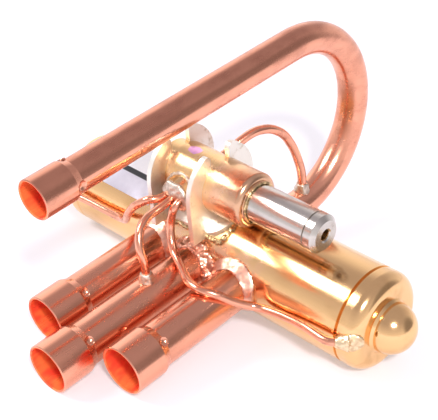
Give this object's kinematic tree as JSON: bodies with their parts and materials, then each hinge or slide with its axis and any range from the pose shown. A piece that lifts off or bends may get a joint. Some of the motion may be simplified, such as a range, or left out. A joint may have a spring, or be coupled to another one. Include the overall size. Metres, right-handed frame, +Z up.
{
  "type": "four way reversing valve",
  "caption": "Solenoid four way reversing valve for a heat pump: brass body with capped ends, belled copper tubes, U-bent discharge tube, bracket and pilot valve with coil sleeve.",
  "frame": {"origin": "on the ground, under the middle of the valve's bounding box, as it rests on its body and on the bell of the suction tube", "axes": "+X along the body towards the pilot valve's coil sleeve, -Y the way the side tubes run, +Z up from the ground to the discharge tube"},
  "size_m": [0.1678, 0.1654, 0.0926],
  "materials": {
    "brass": "polished",
    "copper": "satin",
    "braze": "rough",
    "solder": "rough",
    "stainless": "polished",
    "plated_steel": "satin",
    "spring_steel": "satin",
    "slide_plastic": "matte",
    "label_film": "matte"
  },
  "bodies": {
    "valve": {"valve_body": "brass", "end_cap_left": "brass", "end_cap_right": "brass", "pilot_body": "brass", "pilot_seat": "brass", "valve_seat": "brass", "suction_tube": "copper", "evaporator_tube": "copper", "condenser_tube": "copper", "discharge_tube": "copper", "capillary_left": "copper", "capillary_right": "copper", "capillary_suction": "copper", "capillary_discharge": "copper", "braze_suction": "braze", "braze_evaporator": "braze", "braze_condenser": "braze", "braze_discharge": "braze", "solder_left": "solder", "solder_right": "solder", "solder_suction": "solder", "solder_discharge": "solder", "pilot_sleeve": "stainless", "sleeve_plug": "stainless", "pilot_bracket": "plated_steel", "pilot_spring": "spring_steel", "body_label": "label_film"},
    "shuttle": {"slide_block": "slide_plastic", "slide_carrier": "plated_steel", "piston_left": "brass", "piston_right": "brass", "piston_seal_left": "slide_plastic", "piston_seal_right": "slide_plastic"},
    "plunger": {"pilot_plunger": "stainless", "pilot_slide": "slide_plastic"}
  },
  "joints": [
    {"name": "shuttle_slide", "type": "slide", "parent": "valve", "child": "shuttle", "axis": [1, 0, 0], "range_m": [0, 0.01965]},
    {"name": "plunger_slide", "type": "slide", "parent": "valve", "child": "plunger", "axis": [1, 0, 0], "range_m": [0, 0.0025], "stiffness_N_per_m": 300, "springref_m": -0.004, "deforming": ["pilot_spring"]}
  ]
}
